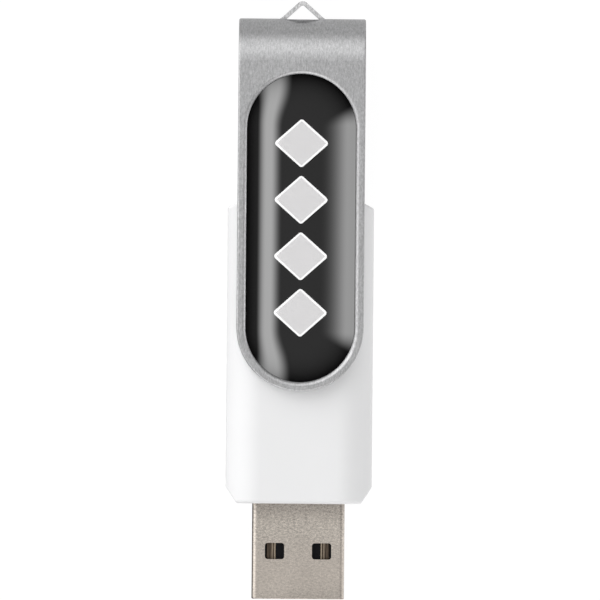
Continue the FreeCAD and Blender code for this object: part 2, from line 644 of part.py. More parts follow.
def plug_insulator():
    """The black moulding: a tongue that carries the contacts and a block that closes the shell's rear."""
    half = PLUG_WIDTH / 2 - PLUG_SHEET - INSULATOR_GAP
    low = BODY_MID_Z - PLUG_HEIGHT / 2 + PLUG_SHEET + INSULATOR_GAP
    high = BODY_MID_Z + PLUG_HEIGHT / 2 - PLUG_SHEET - INSULATOR_GAP
    corner = PLUG_CORNER_R - PLUG_SHEET
    tongue_y = PLUG_TIP_Y + TONGUE_FROM_TIP
    block_y = PLUG_TIP_Y + INSULATOR_BLOCK_FROM_TIP
    moulding = rounded_bar(half, low, high, corner, tongue_y, INSULATOR_TAIL_Y)
    moulding = moulding.cut(block(-half - 1, half + 1, tongue_y - 1, block_y, TONGUE_TOP_Z, high + 1))
    lead_in = edges_inside(moulding, y=(tongue_y, tongue_y), z=(TONGUE_TOP_Z, TONGUE_TOP_Z))
    moulding = moulding.makeChamfer(TONGUE_LEAD_IN, lead_in)
    power, data = contact_list()
    for x, width, front_y in power + data:
        reach = width / 2 + CONTACT_GAP
        groove_low = CONTACT_LOW_Z - CONTACT_GAP
        groove_high = CONTACT_LOW_Z + CONTACT_THICK + CONTACT_GAP
        y0, y1 = front_y - CONTACT_GAP, INSULATOR_TAIL_Y + 1
        moulding = moulding.cut(block(x - reach, x + reach, y0, y1, groove_low, groove_high))
    return moulding


def solder_joints():
    """A fillet of solder between each plug lug and the board's neck."""
    lug_face = PLUG_WIDTH / 2 - PLUG_SHEET
    y = PLUG_TAIL_Y + SOLDER_INSET
    points = [
        (lug_face, y, BOARD_TOP_Z - SOLDER_DROP),
        (lug_face, y, BOARD_TOP_Z + SOLDER_RISE),
        (lug_face - SOLDER_RUN, y, BOARD_TOP_Z),
        (BOARD_NECK_HALF, y, BOARD_TOP_Z),
        (BOARD_NECK_HALF, y, BOARD_TOP_Z - SOLDER_DROP),
    ]
    fillet = prism(closed_outline(points), (0, LUG_LENGTH - 2 * SOLDER_INSET, 0))
    return Part.makeCompound(mirrored(fillet))


# --- Circuit board ------------------------------------------------------------------------------
def circuit_board():
    neck_half = BOARD_NECK_HALF
    neck = block(-neck_half, neck_half, BOARD_FRONT_Y, BOARD_SHOULDER_Y + 1, BOARD_LOW_Z, BOARD_TOP_Z)
    middle_y = (BOARD_SHOULDER_Y + BOARD_REAR_Y) / 2
    length = BOARD_REAR_Y - BOARD_SHOULDER_Y
    main = rounded_column(0, middle_y, 2 * BOARD_HALF, length, BOARD_CORNER_R, BOARD_LOW_Z, BOARD_TOP_Z)
    return fuse_all([main, neck])


def gull_wing(root, tip, shoulder_rise, board_z, up, across):
    """One bent lead from a package's side down to the board.

    root and tip are distances from the package's centre along +Y, across is the place along X, and
    up is 1 above the board and -1 below it.
    """
    shoulder = board_z + up * shoulder_rise
    bend = tip - LEAD_FOOT
    thick = up * LEAD_THICK
    profile = [
        (root, shoulder),
        (bend - LEAD_THICK, shoulder),
        (bend - LEAD_THICK, board_z),
        (tip, board_z),
        (tip, board_z + thick),
        (bend, board_z + thick),
        (bend, shoulder + thick),
        (root, shoulder + thick),
    ]
    points = [(across - LEAD_WIDTH / 2, y, z) for y, z in profile]
    return prism(closed_outline(points), (LEAD_WIDTH, 0, 0))


def lead_rows(root, tip, shoulder_rise, board_z, up, per_side, centre_y, turns):
    """The leads of a package, one row for each turn (in degrees) about its centre."""
    leads = []
    for turn in turns:
        for i in range(per_side):
            across = (i - (per_side - 1) / 2) * LEAD_PITCH
            lead = gull_wing(root, tip, shoulder_rise, board_z, up, across)
            lead.rotate(Vector(0, 0, 0), Vector(0, 0, 1), turn)
            lead.translate(Vector(0, centre_y, 0))
            leads.append(lead)
    return Part.makeCompound(leads)


def chip_package(size_x, size_y, height, centre_y, board_z, up):
    """A moulded package with bevelled outer edges and a pin-one dot."""
    near = board_z + up * STANDOFF
    far = near + up * height
    x, y0, y1 = size_x / 2, centre_y - size_y / 2, centre_y + size_y / 2
    package = block(-x, x, y0, y1, min(near, far), max(near, far))
    package = package.makeChamfer(PACKAGE_BEVEL, edges_inside(package, z=(far, far)))
    dot_z = min(far, far - up * PIN_DOT_DEPTH)
    return package.cut(disc(PIN_DOT_INSET - x, y0 + PIN_DOT_INSET, PIN_DOT_R, dot_z, dot_z + PIN_DOT_DEPTH))


def flash_chip():
    return chip_package(FLASH_WIDTH, FLASH_LENGTH, FLASH_HEIGHT, FLASH_Y, BOARD_TOP_Z, 1)


def flash_chip_leads():
    root, tip = FLASH_LENGTH / 2, FLASH_SPAN / 2
    rise = STANDOFF + FLASH_HEIGHT / 2
    return lead_rows(root, tip, rise, BOARD_TOP_Z, 1, FLASH_LEADS_PER_SIDE, FLASH_Y, (0, 180))


def controller_chip():
    return chip_package(CONTROLLER_SIDE, CONTROLLER_SIDE, CONTROLLER_HEIGHT, CONTROLLER_Y, BOARD_LOW_Z, -1)


def controller_leads():
    root, tip = CONTROLLER_SIDE / 2, CONTROLLER_SPAN / 2
    rise = STANDOFF + CONTROLLER_HEIGHT / 2
    turns = (0, 90, 180, 270)
    return lead_rows(root, tip, rise, BOARD_LOW_Z, -1, CONTROLLER_LEADS_PER_SIDE, CONTROLLER_Y, turns)


def crystal_base():
    size_x, size_y = CRYSTAL_SIZE
    high = BOARD_TOP_Z + CRYSTAL_BASE
    return rounded_column(0, CRYSTAL_Y, size_x, size_y, CRYSTAL_CORNER_R, BOARD_TOP_Z, high)


def crystal_lid():
    size_x, size_y = (size - 2 * CRYSTAL_LID_INSET for size in CRYSTAL_SIZE)
    low = BOARD_TOP_Z + CRYSTAL_BASE
    high = low + CRYSTAL_LID
    lid = rounded_column(0, CRYSTAL_Y, size_x, size_y, CRYSTAL_CORNER_R, low, high)
    return lid.makeFillet(CRYSTAL_LID / 4, edges_inside(lid, z=(high, high)))


def status_led_base():
    x, y = LED_SIZE[0] / 2, LED_SIZE[1] / 2
    return block(-x, x, LED_Y - y, LED_Y + y, BOARD_TOP_Z, BOARD_TOP_Z + LED_BASE)


def status_led_lens():
    x, y = LED_LENS_SHARE * LED_SIZE[0] / 2, LED_SIZE[1] / 2
    low = BOARD_TOP_Z + LED_BASE
    high = low + LED_LENS
    lens = block(-x, x, LED_Y - y, LED_Y + y, low, high)
    return lens.makeChamfer(LED_LENS_BEVEL, edges_inside(lens, z=(high, high)))


def chip_group(size, below, above):
    """Two-ended components lying along Y on either face of the board: their middles, and their ends."""
    width, length, height = size
    half, inner = length / 2, length / 2 - length * END_CAP_SHARE
    middles, ends = [], []
    places = [(x, y, BOARD_LOW_Z - height) for x, y in below] + [(x, y, BOARD_TOP_Z) for x, y in above]
    for x, y, z in places:
        x0, x1 = x - width / 2, x + width / 2
        middles.append(block(x0, x1, y - inner, y + inner, z, z + height))
        ends.append(block(x0, x1, y - half, y - inner, z, z + height))
        ends.append(block(x0, x1, y + inner, y + half, z, z + height))
    return Part.makeCompound(middles), Part.makeCompound(ends)


# --- Everything ---------------------------------------------------------------------------------
def all_pieces():
    power, data = contact_list()
    capacitor_bodies, capacitor_ends = chip_group(CAPACITOR, CAPACITORS_BELOW, [])
    resistor_bodies, resistor_ends = chip_group(RESISTOR, RESISTORS_BELOW, RESISTORS_ABOVE)
    return {
        "swivel_clip": swivel_clip(),
        "label_film": label_film(),
        "label_print": label_print(),
        "label_dome": label_dome(),
        "front_shell": front_shell(),
        "back_shell": back_shell(),
        "plug_shell": plug_shell(),
        "plug_insulator": plug_insulator(),
        "power_contacts": contact_strips(power),
        "data_contacts": contact_strips(data),
        "solder_joints": solder_joints(),
        "circuit_board": circuit_board(),
        "flash_chip": flash_chip(),
        "flash_chip_leads": flash_chip_leads(),
        "controller_chip": controller_chip(),
        "controller_leads": controller_leads(),
        "crystal_base": crystal_base(),
        "crystal_lid": crystal_lid(),
        "status_led_base": status_led_base(),
        "status_led_lens": status_led_lens(),
        "capacitor_bodies": capacitor_bodies,
        "capacitor_ends": capacitor_ends,
        "resistor_bodies": resistor_bodies,
        "resistor_ends": resistor_ends,
    }


os.makedirs("parts", exist_ok=True)
for name, shape in all_pieces().items():
    if not shape.isValid():
        raise ValueError(f"{name} is not a valid solid")
    shape.exportStep(f"parts/{name}.step")
    print(f"{name}: {len(shape.Solids)} solid(s), {shape.Volume:.2f} mm3")
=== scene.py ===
"""The looks of a swivel USB flash drive, around its CAD model.

Lengths are in metres, except that the materials measure places in millimetres. Places are in the CAD
model's frame: the origin is on the clip's pivot axis, in the plane the clip's back leaf rests on, +Z
is up through both leaves, +Y runs to the clip's bend and -Y to the plug's tip.
"""

import math

import bmesh
import bpy
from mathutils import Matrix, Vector


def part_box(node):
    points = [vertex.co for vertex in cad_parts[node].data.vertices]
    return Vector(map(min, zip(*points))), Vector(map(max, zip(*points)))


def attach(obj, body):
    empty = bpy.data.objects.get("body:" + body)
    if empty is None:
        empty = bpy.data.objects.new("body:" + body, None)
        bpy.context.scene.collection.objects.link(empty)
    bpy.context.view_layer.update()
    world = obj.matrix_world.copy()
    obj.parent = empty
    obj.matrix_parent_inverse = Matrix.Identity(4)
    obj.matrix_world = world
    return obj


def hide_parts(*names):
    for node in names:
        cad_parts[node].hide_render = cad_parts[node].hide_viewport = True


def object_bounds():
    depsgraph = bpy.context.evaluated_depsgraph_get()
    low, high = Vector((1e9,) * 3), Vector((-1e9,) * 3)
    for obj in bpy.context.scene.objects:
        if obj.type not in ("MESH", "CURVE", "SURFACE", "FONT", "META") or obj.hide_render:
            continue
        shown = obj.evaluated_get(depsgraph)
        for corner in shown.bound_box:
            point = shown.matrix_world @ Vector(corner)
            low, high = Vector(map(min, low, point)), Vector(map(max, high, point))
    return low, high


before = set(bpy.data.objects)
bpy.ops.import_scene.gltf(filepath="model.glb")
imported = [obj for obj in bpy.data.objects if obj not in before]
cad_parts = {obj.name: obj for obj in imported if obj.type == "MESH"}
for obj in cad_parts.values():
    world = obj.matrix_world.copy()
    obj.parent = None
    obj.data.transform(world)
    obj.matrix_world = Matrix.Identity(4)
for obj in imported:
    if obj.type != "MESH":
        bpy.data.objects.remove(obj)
cad_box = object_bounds()

MM = 0.001
WHITE = (1.0, 1.0, 1.0)


# --- Building node trees ------------------------------------------------------------------------
class Nodes:
    """A node tree being built. Each method adds one node and returns its output socket."""

    def __init__(self, tree):
        self.tree = tree
        tree.nodes.clear()

    def add(self, kind, inputs=None, output=0, **settings):
        """inputs maps a socket's name or number to a value, or to another node's socket."""
        node = self.tree.nodes.new("ShaderNode" + kind)
        for name, value in settings.items():
            setattr(node, name, value)
        for key, value in (inputs or {}).items():
            if isinstance(value, bpy.types.NodeSocket):
                self.tree.links.new(value, node.inputs[key])
            else:
                node.inputs[key].default_value = value
        return node.outputs[output] if node.outputs else None

    def math(self, operation, a, b=0.0):
        return self.add("Math", {0: a, 1: b}, operation=operation)

    def scaled(self, value, low, high, from_low=0.0, from_high=1.0):
        """The value's span from_low to from_high, moved to low to high and held inside it."""
        inputs = {"Value": value, "From Min": from_low, "From Max": from_high, "To Min": low, "To Max": high}
        return self.add("MapRange", inputs)

    def smooth_step(self, value, start, end):
        """0 before start and 1 after end, with a soft change between them."""
        inputs = {"Value": value, "From Min": start, "From Max": end}
        return self.add("MapRange", inputs, interpolation_type="SMOOTHSTEP")

    def vector(self, operation, a, b, output=0):
        return self.add("VectorMath", {0: a, 1: b}, output, operation=operation)

    def place(self):
        """Where the shaded point is on the piece at rest, in millimetres."""
        return self.vector("MULTIPLY", self.add("TexCoord", output="Object"), [1 / MM] * 3)

    def product(self, *factors):
        result = factors[0]
        for factor in factors[1:]:
            result = self.math("MULTIPLY", result, factor)
        return result

    def length(self, a, b):
        """The diagonal of a right angle with sides a and b."""
        return self.math("SQRT", self.math("ADD", self.math("POWER", a, 2.0), self.math("POWER", b, 2.0)))

    def axis(self, vector, which):
        return self.add("SeparateXYZ", {0: vector}, output=which)

    def flat_faces(self):
        """1 on the faces that look up or down and 0 on the sides."""
        normal_z = self.math("ABSOLUTE", self.axis(self.add("TexCoord", output="Normal"), 2))
        return self.smooth_step(normal_z, 0.4, 0.6)

    def noise(self, grains, detail, offset=(0, 0, 0)):
        """Noise round 0.5 with the given number of grains per millimetre along each axis."""
        stretched = self.vector("MULTIPLY", self.place(), grains)
        moved = self.vector("ADD", stretched, offset)
        return self.add("TexNoise", {"Vector": moved, "Scale": 1.0, "Detail": detail})

    def mix(self, factor, a, b):
        """A colour between a and b."""
        inputs = {"Factor": factor, 6: opaque(a), 7: opaque(b)}
        return self.add("Mix", inputs, output=2, data_type="RGBA")

    def blend(self, factor, a, b):
        """A number between a and b."""
        return self.add("Mix", {"Factor": factor, 2: a, 3: b}, data_type="FLOAT")

    def tint(self, colour, value, spread):
        """The colour made darker and lighter by the noise value, by up to the given share."""
        dark = [c * (1 - spread) for c in colour]
        light = [c * (1 + spread) for c in colour]
        return self.mix(self.scaled(value, 0, 1, 0.25, 0.75), dark, light)

    def bump(self, height, depth, normal=None):
        """A normal for a surface that a height between 0 and 1 raises by up to depth metres."""
        inputs = {"Height": height, "Distance": depth, "Strength": 1.0}
        if normal is not None:
            inputs["Normal"] = normal
        return self.add("Bump", inputs)

    def surface(self, **inputs):
        """A Principled surface; in the names of its inputs an underscore stands for a space."""
        named = {name.replace("_", " "): value for name, value in inputs.items()}
        for name in ("Base Color", "Emission Color"):
            if name in named:
                named[name] = opaque(named[name])
        return self.add("BsdfPrincipled", named)


def opaque(colour):
    """A colour with alpha 1 as a node socket wants it; a linked socket passes unchanged."""
    if isinstance(colour, bpy.types.NodeSocket):
        return colour
    return (*colour[:3], 1.0)


materials = {}


def material(build):
    """The material that a look function builds, made once and shared."""
    if build not in materials:
        made = bpy.data.materials.new(build.__name__ + "_look")
        made.use_nodes = True
        nodes = Nodes(made.node_tree)
        nodes.add("OutputMaterial", {"Surface": build(nodes)})
        materials[build] = made
    return materials[build]


def dress(piece, build):
    piece.data.materials.clear()
    piece.data.materials.append(material(build))


# --- Looks of the clip and its label ------------------------------------------------------------
def brushed_aluminium(nodes):
    """Satin sheet, brushed along the strip so that highlights stretch across it; its loop is bare."""
    lines = nodes.noise((6.5, 1.9, 1.9), detail=2)
    hairs = nodes.noise((11.0, 6.0, 6.0), detail=1, offset=(40, 0, 0))
    clouds = nodes.noise((0.5, 0.16, 0.16), detail=1)
    grain = nodes.math("ADD", nodes.math("MULTIPLY", lines, 0.6), nodes.math("MULTIPLY", hairs, 0.4))

    # At the clip's sides nothing reaches past the bend; in the middle only the loop does.
    corners = [v.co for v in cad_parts["swivel_clip"].data.vertices]
    side = max(c.x for c in corners)
    bend_y = max(c.y for c in corners if c.x > 0.9 * side) / MM
    change = 0.3
    on_loop = nodes.smooth_step(nodes.axis(nodes.place(), 1), bend_y, bend_y + change)
    satin = nodes.tint((0.48, 0.48, 0.485), grain, 0.35)
    bare = nodes.tint((0.66, 0.66, 0.665), grain, 0.5)
    across = nodes.add(
        "VectorTransform", {0: (1, 0, 0)}, vector_type="VECTOR", convert_from="OBJECT", convert_to="WORLD"
    )
    return nodes.surface(
        Base_Color=nodes.mix(on_loop, satin, bare),
        Metallic=1.0,
        Roughness=nodes.scaled(clouds, 0.32, 0.42, 0.3, 0.7),
        Anisotropic=0.7,
        Tangent=across,
        Normal=nodes.bump(grain, 0.006 * MM),
    )


def black_film(nodes):
    """Vinyl wetted by the resin, which takes away its own gloss."""
    grain = nodes.noise((9, 9, 9), detail=2)
    return nodes.surface(
        Base_Color=nodes.tint((0.0022, 0.002, 0.0022), grain, 0.3),
        Roughness=nodes.scaled(grain, 0.45, 0.6),
        Specular_IOR_Level=0.0,
        Normal=nodes.bump(grain, 0.002 * MM),
    )


def printed_ink(nodes):
    """Light grey ink with a white outline along each lozenge's edges, lifted by a faint painted glow."""
    low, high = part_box("label_print")
    rows = lozenge_rows()
    pitch = rows[1] - rows[0]
    half_x, half_y = high.x, rows[0] - low.y
    slope = Vector((half_y, half_x, 0)).normalized()
    corners = [v.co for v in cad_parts["label_print"].data.vertices]
    edge = max(slope.x * abs(c.x) + slope.y * (c.y - rows[0]) for c in corners if c.y < rows[0] + pitch / 2)

    x = nodes.math("ABSOLUTE", nodes.axis(nodes.place(), 0))
    along = nodes.math("SUBTRACT", nodes.axis(nodes.place(), 1), (rows[0] - pitch / 2) / MM)
    wrapped = nodes.math("FLOORED_MODULO", along, pitch / MM)
    y = nodes.math("ABSOLUTE", nodes.math("SUBTRACT", wrapped, pitch / 2 / MM))
    reach = nodes.math("ADD", nodes.math("MULTIPLY", x, slope.x), nodes.math("MULTIPLY", y, slope.y))
    inside = nodes.math("SUBTRACT", edge / MM, reach)
    outline_width, blur = 0.28, 0.03
    fill = nodes.smooth_step(inside, outline_width - blur, outline_width + blur)
    grain = nodes.noise((14, 14, 14), detail=1)
    grey = nodes.tint((0.775, 0.765, 0.77), grain, 0.02)
    white = (0.99, 0.99, 0.99)
    # Painted glow: the white outline gives off a little light of its own.
    painted_outline_glow = 0.14
    return nodes.surface(
        Base_Color=nodes.mix(fill, white, grey),
        Roughness=0.5,
        Specular_IOR_Level=0.0,
        Emission_Color=WHITE,
        Emission_Strength=nodes.scaled(fill, painted_outline_glow, 0.0),
        Normal=nodes.bump(grain, 0.001 * MM),
    )


def lozenge_rows():
    """Y of the middle of each printed lozenge, where it is widest."""
    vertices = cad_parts["label_print"].data.vertices
    widest = max(v.co.x for v in vertices)
    ys = sorted(v.co.y for v in vertices if v.co.x > 0.95 * widest)
    rows = [[ys[0]]]
    for y in ys[1:]:
        if y - rows[-1][-1] > MM:
            rows.append([])
        rows[-1].append(y)
    return [(row[0] + row[-1]) / 2 for row in rows]


def clear_resin(nodes):
    """Cast resin: light passes straight through, and its outside glows with a painted reflection of strip
    lamps.

    The painted reflection is an emission worked out from the reflected direction instead of a traced mirror,
    since a mirror this weak would come out grainy.
    """
    refractive_index = 1.5
    ripple = nodes.bump(nodes.noise((0.3, 0.3, 0.3), detail=0), 0.001 * MM)
    clear = nodes.add("BsdfTransparent", {"Color": opaque((0.985, 0.985, 0.985))})
    from_outside = nodes.math("SUBTRACT", 1.0, nodes.add("NewGeometry", output="Backfacing"))
    fresnel = nodes.add("Fresnel", {"IOR": refractive_index, "Normal": ripple})
    share = nodes.math("MULTIPLY", fresnel, from_outside)
    # Painted reflection: the lamps' mirror image is drawn as glow on the resin.
    painted_reflection = nodes.add("Emission", {"Color": opaque(WHITE), "Strength": painted_lamp_reflection(nodes)})
    return nodes.add("MixShader", {0: share, 1: clear, 2: painted_reflection})


def painted_lamp_reflection(nodes):
    """The painted reflection's strength: a bowed strip lamp, a wedge of light, a dim panel overhead and the
    horizon.

    A direction is given by where it meets a plane one unit overhead.
    """
    above_zero = 0.01
    direction = nodes.add("TexCoord", output="Reflection")
    up = nodes.math("MAXIMUM", nodes.axis(direction, 2), above_zero)
    right = nodes.math("DIVIDE", nodes.axis(direction, 0), up)
    ahead = nodes.math("DIVIDE", nodes.math("ABSOLUTE", nodes.axis(direction, 1)), up)

    from_zenith = nodes.length(right, ahead)
    strip_curve = 1.6
    bow = nodes.length(1.0, nodes.math("MULTIPLY", ahead, strip_curve))
    straightened = nodes.math("DIVIDE", right, bow)
    strip = nodes.product(
        nodes.smooth_step(straightened, -0.62, -0.34),
        nodes.smooth_step(straightened, -0.09, -0.26),
        nodes.smooth_step(ahead, 2.2, 0.2),
    )
    slant = nodes.math("DIVIDE", ahead, nodes.math("MAXIMUM", right, above_zero))
    wedge = nodes.product(
        nodes.smooth_step(right, 0.08, 0.74),
        nodes.smooth_step(slant, 0.52, 0.08),
        nodes.smooth_step(from_zenith, 2.4, 1.3),
    )
    panel = nodes.smooth_step(from_zenith, 1.3, 0.1)
    horizon = nodes.smooth_step(from_zenith, 1.15, 2.5)
    light = 0.0
    for lamp, strength in ((strip, 9.1), (wedge, 7.4), (panel, 0.69), (horizon, 0.8)):
        light = nodes.math("ADD", light, nodes.math("MULTIPLY", lamp, strength))
    return light


# --- Looks of the body and the plug -------------------------------------------------------------
def white_plastic(nodes):
    """Moulded ABS with a very fine spark-eroded texture."""
    texture = nodes.noise((7, 7, 7), detail=3)
    clouds = nodes.noise((0.15, 0.15, 0.15), detail=1)
    return nodes.surface(
        Base_Color=nodes.tint((0.86, 0.86, 0.865), clouds, 0.008),
        Roughness=nodes.scaled(texture, 0.38, 0.5),
        Normal=nodes.bump(texture, 0.0015 * MM),
    )


def nickel_plate(nodes):
    """Tumbled nickel over steel: a warm, speckled grain, coarser towards the body; painted shade darkens it
    next to the body, and it is darker at the tip.
    """
    pebbles = nodes.noise((2.6, 4.8, 2.6), detail=2)
    specks = nodes.noise((6.0, 7.5, 6.0), detail=1, offset=(7, 3, 0))
    clouds = nodes.noise((0.35, 0.25, 0.35), detail=2)
    grain = nodes.math("ADD", nodes.math("MULTIPLY", pebbles, 0.5), nodes.math("MULTIPLY", specks, 0.5))
    smooth = nodes.tint((0.56, 0.505, 0.45), grain, 0.32)
    coarse = nodes.tint((0.565, 0.515, 0.46), grain, 0.6)
    # Painted shade: the colour turns darker next to the body, where the body shades the plug; it is also
    # darker at the tip.
    darkened = nodes.tint((0.42, 0.38, 0.34), grain, 0.6)
    tip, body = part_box("plug_shell")[0].y / MM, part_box("front_shell")[0].y / MM
    lip_end, coarse_start, darkening_start = tip + 1.5, tip + 4.5, body - 3
    y = nodes.axis(nodes.place(), 1)
    colour = nodes.mix(nodes.smooth_step(y, coarse_start, darkening_start), smooth, coarse)
    # Painted shade towards the body.
    colour = nodes.mix(nodes.smooth_step(y, darkening_start, body), colour, darkened)
    # Darker at the tip.
    colour = nodes.mix(nodes.scaled(y, 0.5, 0, tip, lip_end), colour, darkened)
    return nodes.surface(
        Base_Color=colour,
        Metallic=1.0,
        Roughness=nodes.scaled(clouds, 0.28, 0.36, 0.3, 0.7),
        Normal=nodes.bump(grain, 0.012 * MM),
    )


def black_nylon(nodes):
    grain = nodes.noise((8, 8, 8), detail=2)
    return nodes.surface(
        Base_Color=nodes.tint((0.006, 0.006, 0.011), grain, 0.25),
        Roughness=nodes.scaled(grain, 0.4, 0.55),
        Specular_IOR_Level=0.25,
        Normal=nodes.bump(grain, 0.003 * MM),
    )


def gold_with_painted_highlights(nodes, node_name):
    """Thin gold over nickel: brown, with a painted highlight along its inner edge and, fainter, along a
    track beside it.

    Places across a contact run from 0 at its inner edge to 1 at its outer edge.
    """
    reach = [abs(v.co.x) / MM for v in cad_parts[node_name].data.vertices]
    inner, outer = min(reach), max(reach)
    x = nodes.math("ABSOLUTE", nodes.axis(nodes.place(), 0))
    across = nodes.scaled(x, 0, 1, inner, outer)
    drawn = nodes.noise((9, 0.6, 9), detail=2)
    face = nodes.mix(nodes.scaled(drawn, 0, 1, 0.35, 0.65), (0.06, 0.046, 0.038), (0.17, 0.13, 0.095))
    # Painted highlights: the inner edge and a track beside it are lit up in the colour.
    on_edge = nodes.smooth_step(across, 0.16, 0.08)
    track_middle, track_brightness = 0.38, 0.35
    from_track = nodes.math("ABSOLUTE", nodes.math("SUBTRACT", across, track_middle))
    on_track = nodes.math("MULTIPLY", nodes.smooth_step(from_track, 0.09, 0.03), track_brightness)
    painted_highlight = nodes.math("MAXIMUM", on_edge, on_track)
    return nodes.surface(
        Base_Color=nodes.mix(painted_highlight, face, (0.85, 0.71, 0.54)),
        Metallic=1.0,
        Roughness=0.28,
        Normal=nodes.bump(drawn, 0.004 * MM),
    )


def power_gold(nodes):
    return gold_with_painted_highlights(nodes, "power_contacts")


def data_gold(nodes):
    return gold_with_painted_highlights(nodes, "data_contacts")


# --- Looks of the circuit -----------------------------------------------------------------------
def soldered_tin(nodes):
    lumps = nodes.noise((1.6, 1.6, 1.6), detail=2)
    return nodes.surface(
        Base_Color=nodes.tint((0.68, 0.69, 0.7), lumps, 0.08),
        Metallic=1.0,
        Roughness=nodes.scaled(lumps, 0.18, 0.34),
        Normal=nodes.bump(lumps, 0.05 * MM),
    )


def tinned_lead(nodes):
    matte = nodes.noise((12, 12, 12), detail=2)
    return nodes.surface(
        Base_Color=nodes.tint((0.62, 0.62, 0.63), matte, 0.1),
        Metallic=1.0,
        Roughness=nodes.scaled(matte, 0.32, 0.48),
        Normal=nodes.bump(matte, 0.004 * MM),
    )


def board_laminate(nodes):
    """Green solder mask with copper tracks under it; the cut sides show the glass cloth."""
    flattened = nodes.vector("MULTIPLY", nodes.place(), (0.55, 0.55, 0))
    cells = nodes.add(
        "TexVoronoi",
        {"Vector": flattened, "Scale": 1.0, "Randomness": 0.6},
        feature="F1",
        distance="CHEBYCHEV",
    )
    bands_per_cell = 6
    bands = nodes.math("PINGPONG", nodes.math("MULTIPLY", cells, bands_per_cell), 1.0)
    on_track = nodes.smooth_step(bands, 0.45, 0.55)
    mask = nodes.mix(on_track, (0.008, 0.09, 0.035), (0.02, 0.17, 0.06))
    layers = nodes.noise((3, 3, 14), detail=1)
    glass = nodes.tint((0.42, 0.4, 0.25), layers, 0.25)
    return nodes.surface(
        Base_Color=nodes.mix(nodes.flat_faces(), glass, mask),
        Roughness=0.3,
        Normal=nodes.bump(on_track, 0.03 * MM),
    )


def chip_epoxy(nodes):
    specks = nodes.noise((10, 10, 10), detail=3)
    return nodes.surface(
        Base_Color=nodes.tint((0.025, 0.025, 0.027), specks, 0.35),
        Roughness=nodes.scaled(specks, 0.5, 0.68),
        Normal=nodes.bump(specks, 0.006 * MM),
    )


def fired_ceramic(nodes):
    grain = nodes.noise((6, 6, 6), detail=2)
    return nodes.surface(
        Base_Color=nodes.tint((0.66, 0.6, 0.5), grain, 0.06),
        Roughness=0.55,
        Normal=nodes.bump(grain, 0.004 * MM),
    )


def crystal_cover(nodes):
    drawn = nodes.noise((1.2, 9, 9), detail=2)
    return nodes.surface(
        Base_Color=nodes.tint((0.72, 0.68, 0.58), drawn, 0.07),
        Metallic=1.0,
        Roughness=nodes.scaled(drawn, 0.22, 0.32),
        Normal=nodes.bump(drawn, 0.003 * MM),
    )


def led_housing(nodes):
    grain = nodes.noise((9, 9, 9), detail=1)
    return nodes.surface(
        Base_Color=nodes.tint((0.8, 0.79, 0.75), grain, 0.04),
        Roughness=0.45,
        Normal=nodes.bump(grain, 0.002 * MM),
    )


def led_lens(nodes):
    """Milky epoxy over the light's die."""
    haze = nodes.noise((3, 3, 3), detail=2)
    return nodes.surface(
        Base_Color=nodes.tint((0.82, 0.74, 0.42), haze, 0.08),
        Roughness=0.2,
        Subsurface_Weight=0.4,
        Subsurface_Scale=0.3 * MM,
        Normal=nodes.bump(haze, 0.004 * MM),
    )


def capacitor_ceramic(nodes):
    grain = nodes.noise((8, 8, 8), detail=2)
    return nodes.surface(
        Base_Color=nodes.tint((0.36, 0.24, 0.15), grain, 0.12),
        Roughness=nodes.scaled(grain, 0.4, 0.55),
        Normal=nodes.bump(grain, 0.005 * MM),
    )


def resistor_coat(nodes):
    """White ceramic with black glass paste on its flat faces."""
    grain = nodes.noise((8, 8, 8), detail=2)
    ceramic = (0.7, 0.68, 0.64)
    paste = nodes.tint((0.02, 0.02, 0.022), grain, 0.2)
    return nodes.surface(
        Base_Color=nodes.mix(nodes.flat_faces(), ceramic, paste),
        Roughness=0.35,
        Normal=nodes.bump(grain, 0.004 * MM),
    )


LOOKS = {
    "swivel_clip": brushed_aluminium,
    "label_film": black_film,
    "label_print": printed_ink,
    "front_shell": white_plastic,
    "back_shell": white_plastic,
    "plug_shell": nickel_plate,
    "plug_insulator": black_nylon,
    "power_contacts": power_gold,
    "data_contacts": data_gold,
    "solder_joints": soldered_tin,
    "circuit_board": board_laminate,
    "flash_chip": chip_epoxy,
    "flash_chip_leads": tinned_lead,
    "controller_chip": chip_epoxy,
    "controller_leads": tinned_lead,
    "crystal_base": fired_ceramic,
    "crystal_lid": crystal_cover,
    "status_led_base": led_housing,
    "status_led_lens": led_lens,
    "capacitor_bodies": capacitor_ceramic,
    "capacitor_ends": tinned_lead,
    "resistor_bodies": resistor_coat,
    "resistor_ends": tinned_lead,
}


# --- The resin dome, as a finer mesh than the CAD model's ---------------------------------------
def slot_ring(mesh, radius, y0, y1, z, steps):
    """A ring of points round the segment from (0, y0) to (0, y1), at the given distance from it."""
    ring = []
    for centre_y, start in ((y1, 0.0), (y0, math.pi)):
        for i in range(steps + 1):
            turn = start + math.pi * i / steps
            ring.append(mesh.verts.new((radius * math.cos(turn), centre_y + radius * math.sin(turn), z)))
    return ring


def bridge(mesh, lower, upper):
    for i in range(len(lower)):
        j = (i + 1) % len(lower)
        face = mesh.faces.new((lower[i], lower[j], upper[j], upper[i]))
        face.smooth = True


def close_on_ridge(mesh, ring, ridge):
    """Faces from a ring to the line inside it; each end of the line serves half of the ring."""
    half = len(ring) // 2
    for i in range(len(ring)):
        j = (i + 1) % len(ring)
        here, there = ridge[i // half], ridge[j // half]
        corners = [ring[i], ring[j], there]
        if here is not there:
            corners.append(here)
        mesh.faces.new(corners).smooth = True


